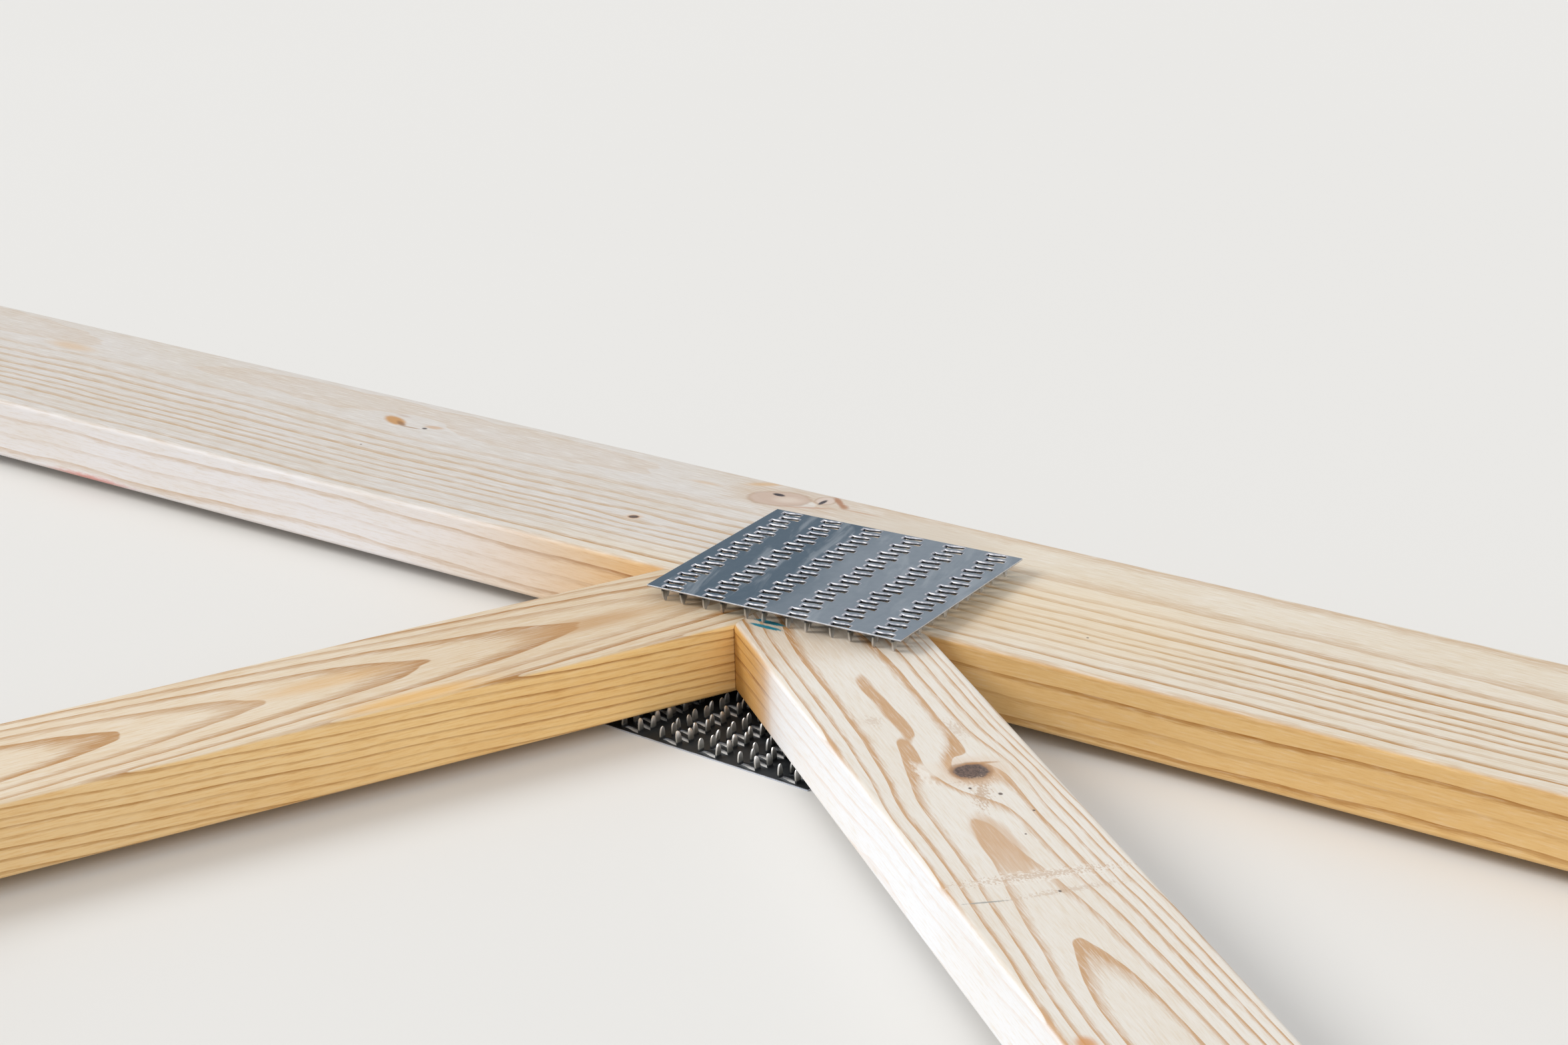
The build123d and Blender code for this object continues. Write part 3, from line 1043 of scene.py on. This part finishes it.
def add_tooth(form, side, root, x, y, tilt):
    """A tooth from its root loop down to its tip."""
    loop = root
    for section in tooth_sections(side):
        following = [form.verts.new(turned_point(point, x, y, tilt)) for point in section]
        ring_faces(form, *((following, loop) if side > 0 else (loop, following)))
        loop = following
    form.faces.new(loop if side > 0 else loop[::-1])


def plate_rim(form, bands, rows, inset):
    """The sheared edge round the plate, with both of its arrises broken."""
    half_x, half_y = bands * BAND_PITCH / 2, rows * ROW_PITCH / 2
    starts = [(band + 0.5 - bands / 2) * BAND_PITCH for band in range(bands)]
    xs = [start + step * BAND_PITCH / 2 for start in starts for step in BORDER_STEPS[:-1]]
    ys = [(half / 2 - rows / 2) * ROW_PITCH for half in range(2 * rows)]
    walk = [(x, -half_y) for x in xs] + [(half_x, y) for y in ys]
    walk += [(-x, half_y) for x in xs] + [(-half_x, -y) for y in ys]
    loops = []
    for moved, z in ((True, 0.0), (False, -EDGE_BREAK), (False, EDGE_BREAK - SHEET), (True, -SHEET)):
        loops.append([form.verts.new((*(inset(point) if moved else point), z)) for point in walk])
    for upper, lower in zip(loops, loops[1:]):
        ring_faces(form, lower, upper)


def punched_plate(name, bands, rows):
    """The mesh of one nail plate, its top at Z 0 and its teeth down."""
    half_x, half_y = bands * BAND_PITCH / 2, rows * ROW_PITCH / 2

    def inset(point, clear=EDGE_BREAK):
        """A point kept clear of the plate's outline."""
        x = max(-half_x + clear, min(half_x - clear, point[0]))
        y = max(-half_y + clear, min(half_y - clear, point[1]))
        return x, y

    form = bmesh.new()
    for band in range(bands):
        for row in range(rows):
            x = (band + 0.5 - bands / 2) * BAND_PITCH
            y = (row + 0.5 - rows / 2) * ROW_PITCH
            add_cell(form, x, y, row, rows, inset)
    plate_rim(form, bands, rows, inset)
    bmesh.ops.remove_doubles(form, verts=form.verts, dist=MERGE_WITHIN)
    bmesh.ops.recalc_face_normals(form, faces=form.faces)
    for face in form.faces:
        face.smooth = abs(face.normal.z) < FLAT_FROM
    for edge in form.edges:
        edge.smooth = edge.calc_face_angle(0.0) < SHARP_FROM
    bmesh.ops.scale(form, vec=(MM, MM, MM), verts=form.verts)
    mesh = bpy.data.meshes.new(name)
    form.to_mesh(mesh)
    form.free()
    return mesh


plate_meshes = {}
for bands, rows in (NODE_SHEET, HEEL_SHEET, STRUT_SHEET):
    plate_meshes[bands, rows] = punched_plate(f"plate_{bands}x{rows}", bands, rows)
    print(bands, "bands of", rows, "slots:", len(plate_meshes[bands, rows].polygons), "faces")

# %% [markdown]
# Hot-dip galvanised sheet is a soft blue-grey metal. It is not even: the zinc sets in clouds, the
# rollers leave faint streaks, and handling leaves smudges that are duller. The rest is painted light.
# The rolled strips are pale grey with brighter spots, a painted reflection with painted glints, and
# the teeth are grey with a painted highlight that grows to silver at their tips. The sheared edge
# carries a pale blue painted highlight, and the sheet's underside and the lower slot walls are dark
# with painted shade. The depth below the sheet's top says which is which.

# %% The finish of the steel
ZINC_DARK = (0.055, 0.10, 0.145)
ZINC_LIGHT = (0.25, 0.29, 0.335)
ZINC_SMUDGE = (0.40, 0.435, 0.47)
# These colours carry painted light: shade on the underside, reflections and highlights on the strips,
# teeth and sheared edge.
ZINC_UNDER_SHADE = (0.055, 0.06, 0.065)
SILVER_HIGHLIGHT = (0.74, 0.74, 0.74)
STRIP_GREY = (0.31, 0.32, 0.36)
STRIP_HIGHLIGHT = (0.62, 0.61, 0.64)
TOOTH_GREY = (0.40, 0.40, 0.37)
SHEARED_HIGHLIGHT = (0.70, 0.76, 0.86)
UP = (0, 0, 1)
ZINC_CLOUDS = (70, 110)
ZINC_GRAIN = 4
STREAKS = (1.4, 31)
WIPES = (11, 55)
GLINTS = (3.1, 2.2)
DARKEN_OVER = 260
TONE_FROM = (0.38, 0.72)
SMUDGE_FROM = (0.50, 0.66)
GLINT_FROM = (0.35, 0.65)
TOOTH_FROM = (2.0, 3.2)
TIP_FROM = (2.8, 7.6)
ROLLED_FROM = (0.015, 0.16)
UNDER_SHADE_FROM = (0.68, 0.95)
RIM_DOWN_TO = (0.55, 0.68)
UPRIGHT_UP_TO = (0.01, 0.05)


def galvanised_steel():
    """The finish of the nail plates."""
    material, tree, shader, place, normal = new_material("galvanised_steel")
    millimetres = place.node("ShaderNodeVectorMath", {"operation": "SCALE"}, _0=place, scale=1 / MM)
    apart = tree.nodes.new("ShaderNodeSeparateXYZ")
    plug(tree, apart.inputs[0], millimetres)
    x, y, z = [Wire(tree, socket) for socket in apart.outputs]
    down = -z
    cloud_place = join(x / ZINC_CLOUDS[0] + 3.4, y / ZINC_CLOUDS[1], 0.5)
    cloud = noise(cloud_place, detail=3.0, roughness=0.5, distortion=0.4)
    grain_place = join(x / ZINC_GRAIN + 0.3, y / ZINC_GRAIN + 0.1, z / ZINC_GRAIN + 0.3)
    grain = noise(grain_place, detail=3.0)
    streaks = noise(join(x / STREAKS[0] + 0.3, y / STREAKS[1] + 0.4, 2.37), detail=2.0)
    wipe_place = join((x + y * 0.2) / WIPES[0] + 2.0, y / WIPES[1] + 0.3, 7.3)
    wipe = noise(wipe_place, detail=4.0, roughness=0.6, distortion=0.5)
    glint_place = join(x / GLINTS[0] + 0.4, y / GLINTS[1] + 0.3, z / GLINTS[0] + 0.2)
    glint = noise(glint_place, detail=1.0)
    smudge = soft_step(wipe, *SMUDGE_FROM)
    tone = soft_step(cloud - x / DARKEN_OVER, *TONE_FROM) * 0.85
    tone = tone + (grain - 0.5) * 0.3 + (streaks - 0.5) * 0.2
    colour = blend_colour(tone, ZINC_DARK, ZINC_LIGHT)
    colour = blend_colour(smudge * 0.5, colour, ZINC_SMUDGE)
    teeth = soft_step(down, *TOOTH_FROM)
    tip_highlight = soft_step(down, *TIP_FROM)
    painted_strip_reflection = soft_step(down, *ROLLED_FROM) * (1 - teeth)
    painted_under_shade = soft_step(down, *UNDER_SHADE_FROM) * (1 - teeth)
    # Painted reflection on the rolled strips: grey, with painted glints in a paler grey.
    strip = blend_colour(soft_step(glint, *GLINT_FROM), STRIP_GREY, STRIP_HIGHLIGHT)
    colour = blend_colour(painted_strip_reflection, colour, strip)
    # Painted highlight on the teeth, growing to silver at their tips.
    tooth = blend_colour(tip_highlight * (0.6 + 0.8 * glint), TOOTH_GREY, SILVER_HIGHLIGHT)
    colour = blend_colour(teeth, colour, tooth)
    # Painted shade on the sheet's underside and the lower slot walls.
    colour = blend_colour(painted_under_shade, colour, ZINC_UNDER_SHADE)
    facing = {"operation": "DOT_PRODUCT"}
    upright = normal.node("ShaderNodeVectorMath", facing, output=1, _0=normal, _1=UP)
    # A pale blue painted highlight on the upright faces of the sheared edge.
    rim = 1 - soft_step(square(upright), *UPRIGHT_UP_TO)
    sheared = rim * (1 - soft_step(down, *RIM_DOWN_TO))
    colour = blend_colour(sheared, colour, SHEARED_HIGHLIGHT)
    plug(tree, shader.inputs["Base Color"], colour)
    shader.inputs["Metallic"].default_value = 1.0
    rough = 0.28 + 0.14 * cloud + 0.14 * smudge + 0.08 * streaks + 0.06 * teeth + 0.2 * painted_under_shade
    plug(tree, shader.inputs["Roughness"], rough)
    height = cloud * 0.5 + grain * 0.3
    bump = height.node("ShaderNodeBump", strength=0.25, distance=0.0004, height=height)
    plug(tree, shader.inputs["Normal"], bump)
    return material


steel = galvanised_steel()
for mesh in plate_meshes.values():
    mesh.materials.append(steel)
print("steel ready")

# %% [markdown]
# Every plate goes exactly where its CAD solid is: the box's middle gives its place, and the turn
# is the one that the joint has. A lower plate is the same sheet rolled over, teeth up.

# %% Set the plates on their joints
ALONG_RAFTER = pi / 2 - ROOF_ANGLE
PLATES = {
    "node_plate_right": (NODE_SHEET, radians(3.6), radians(-3.0)),
    "node_plate_left": (NODE_SHEET, 0.0, 0.0),
    "ridge_plate": (NODE_SHEET, 0.0, 0.0),
    "heel_plate_right": (HEEL_SHEET, ALONG_RAFTER, ALONG_RAFTER),
    "heel_plate_left": (HEEL_SHEET, -ALONG_RAFTER, -ALONG_RAFTER),
    "strut_plate_right": (STRUT_SHEET, ALONG_RAFTER, ALONG_RAFTER),
    "strut_plate_left": (STRUT_SHEET, -ALONG_RAFTER, -ALONG_RAFTER),
}


def set_plate(node, sheet, turn):
    """A punched plate in the place of its plain solid."""
    low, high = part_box(node)
    middle = (low + high) / 2
    plate = bpy.data.objects.new("punched_" + node, plate_meshes[sheet])
    scene.collection.objects.link(plate)
    if node.endswith("upper"):
        middle.z = high.z
        roll = Matrix.Identity(4)
    else:
        middle.z = low.z
        roll = Matrix.Rotation(pi, 4, "X")
    plate.matrix_world = Matrix.Translation(middle) @ Matrix.Rotation(turn, 4, "Z") @ roll
    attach(plate, "root")
    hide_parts(node)
    return plate


for joint, (sheet, upper_turn, lower_turn) in PLATES.items():
    set_plate(joint + "_upper", sheet, upper_turn)
    set_plate(joint + "_lower", sheet, lower_turn)
print("joints plated on both sides:", len(PLATES))
